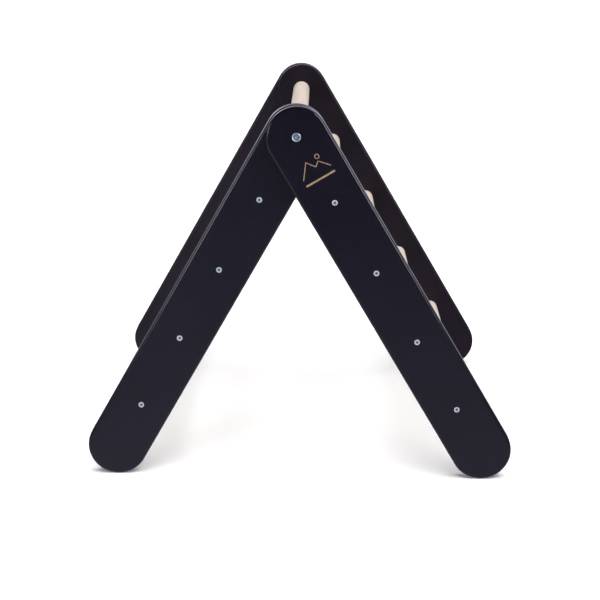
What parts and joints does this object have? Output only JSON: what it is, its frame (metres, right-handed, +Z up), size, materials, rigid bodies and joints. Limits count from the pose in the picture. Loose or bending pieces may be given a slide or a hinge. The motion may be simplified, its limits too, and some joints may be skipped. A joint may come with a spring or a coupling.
{
  "type": "folding climbing ladder",
  "caption": "Child's A-frame climbing ladder: staggered frames of black boards and round beech rungs, hinged about a shared top rung.",
  "frame": {"origin": "on the floor, under the middle of the top rung, at the centre of the footprint", "axes": "+Z up; +Y along the rungs, away from the side whose outermost board belongs to the right frame; +X across the legs, towards the right frame's feet"},
  "size_m": [0.6978, 0.69, 0.6136],
  "materials": {
    "black_paint": "satin black lacquer over wood boards",
    "beech": "clear matt lacquer over turned beech",
    "zinc_steel": "bright zinc plate",
    "nylon": "moulded nylon"
  },
  "bodies": {
    "left_frame": {"near_left_rail": "black_paint", "far_left_rail": "black_paint", "left_rung_1": "beech", "left_rung_2": "beech", "left_rung_3": "beech", "left_rung_4": "beech", "top_rung": "beech", "near_left_rung_screws": "zinc_steel", "far_left_rung_screws": "zinc_steel", "near_pivot_bolt": "zinc_steel", "far_pivot_bolt": "zinc_steel", "near_pivot_insert": "zinc_steel", "far_pivot_insert": "zinc_steel", "near_pivot_washer": "nylon", "far_pivot_washer": "nylon"},
    "right_frame": {"near_right_rail": "black_paint", "far_right_rail": "black_paint", "right_rung_1": "beech", "right_rung_2": "beech", "right_rung_3": "beech", "right_rung_4": "beech", "near_right_rung_screws": "zinc_steel", "far_right_rung_screws": "zinc_steel", "near_stop_pin": "zinc_steel", "far_stop_pin": "zinc_steel"}
  },
  "joints": [
    {"name": "fold", "type": "hinge", "parent": "left_frame", "child": "right_frame", "pos_m": [0, 0, 0.56636], "axis": [0, 1, 0], "range_deg": [0, 26.5]}
  ]
}
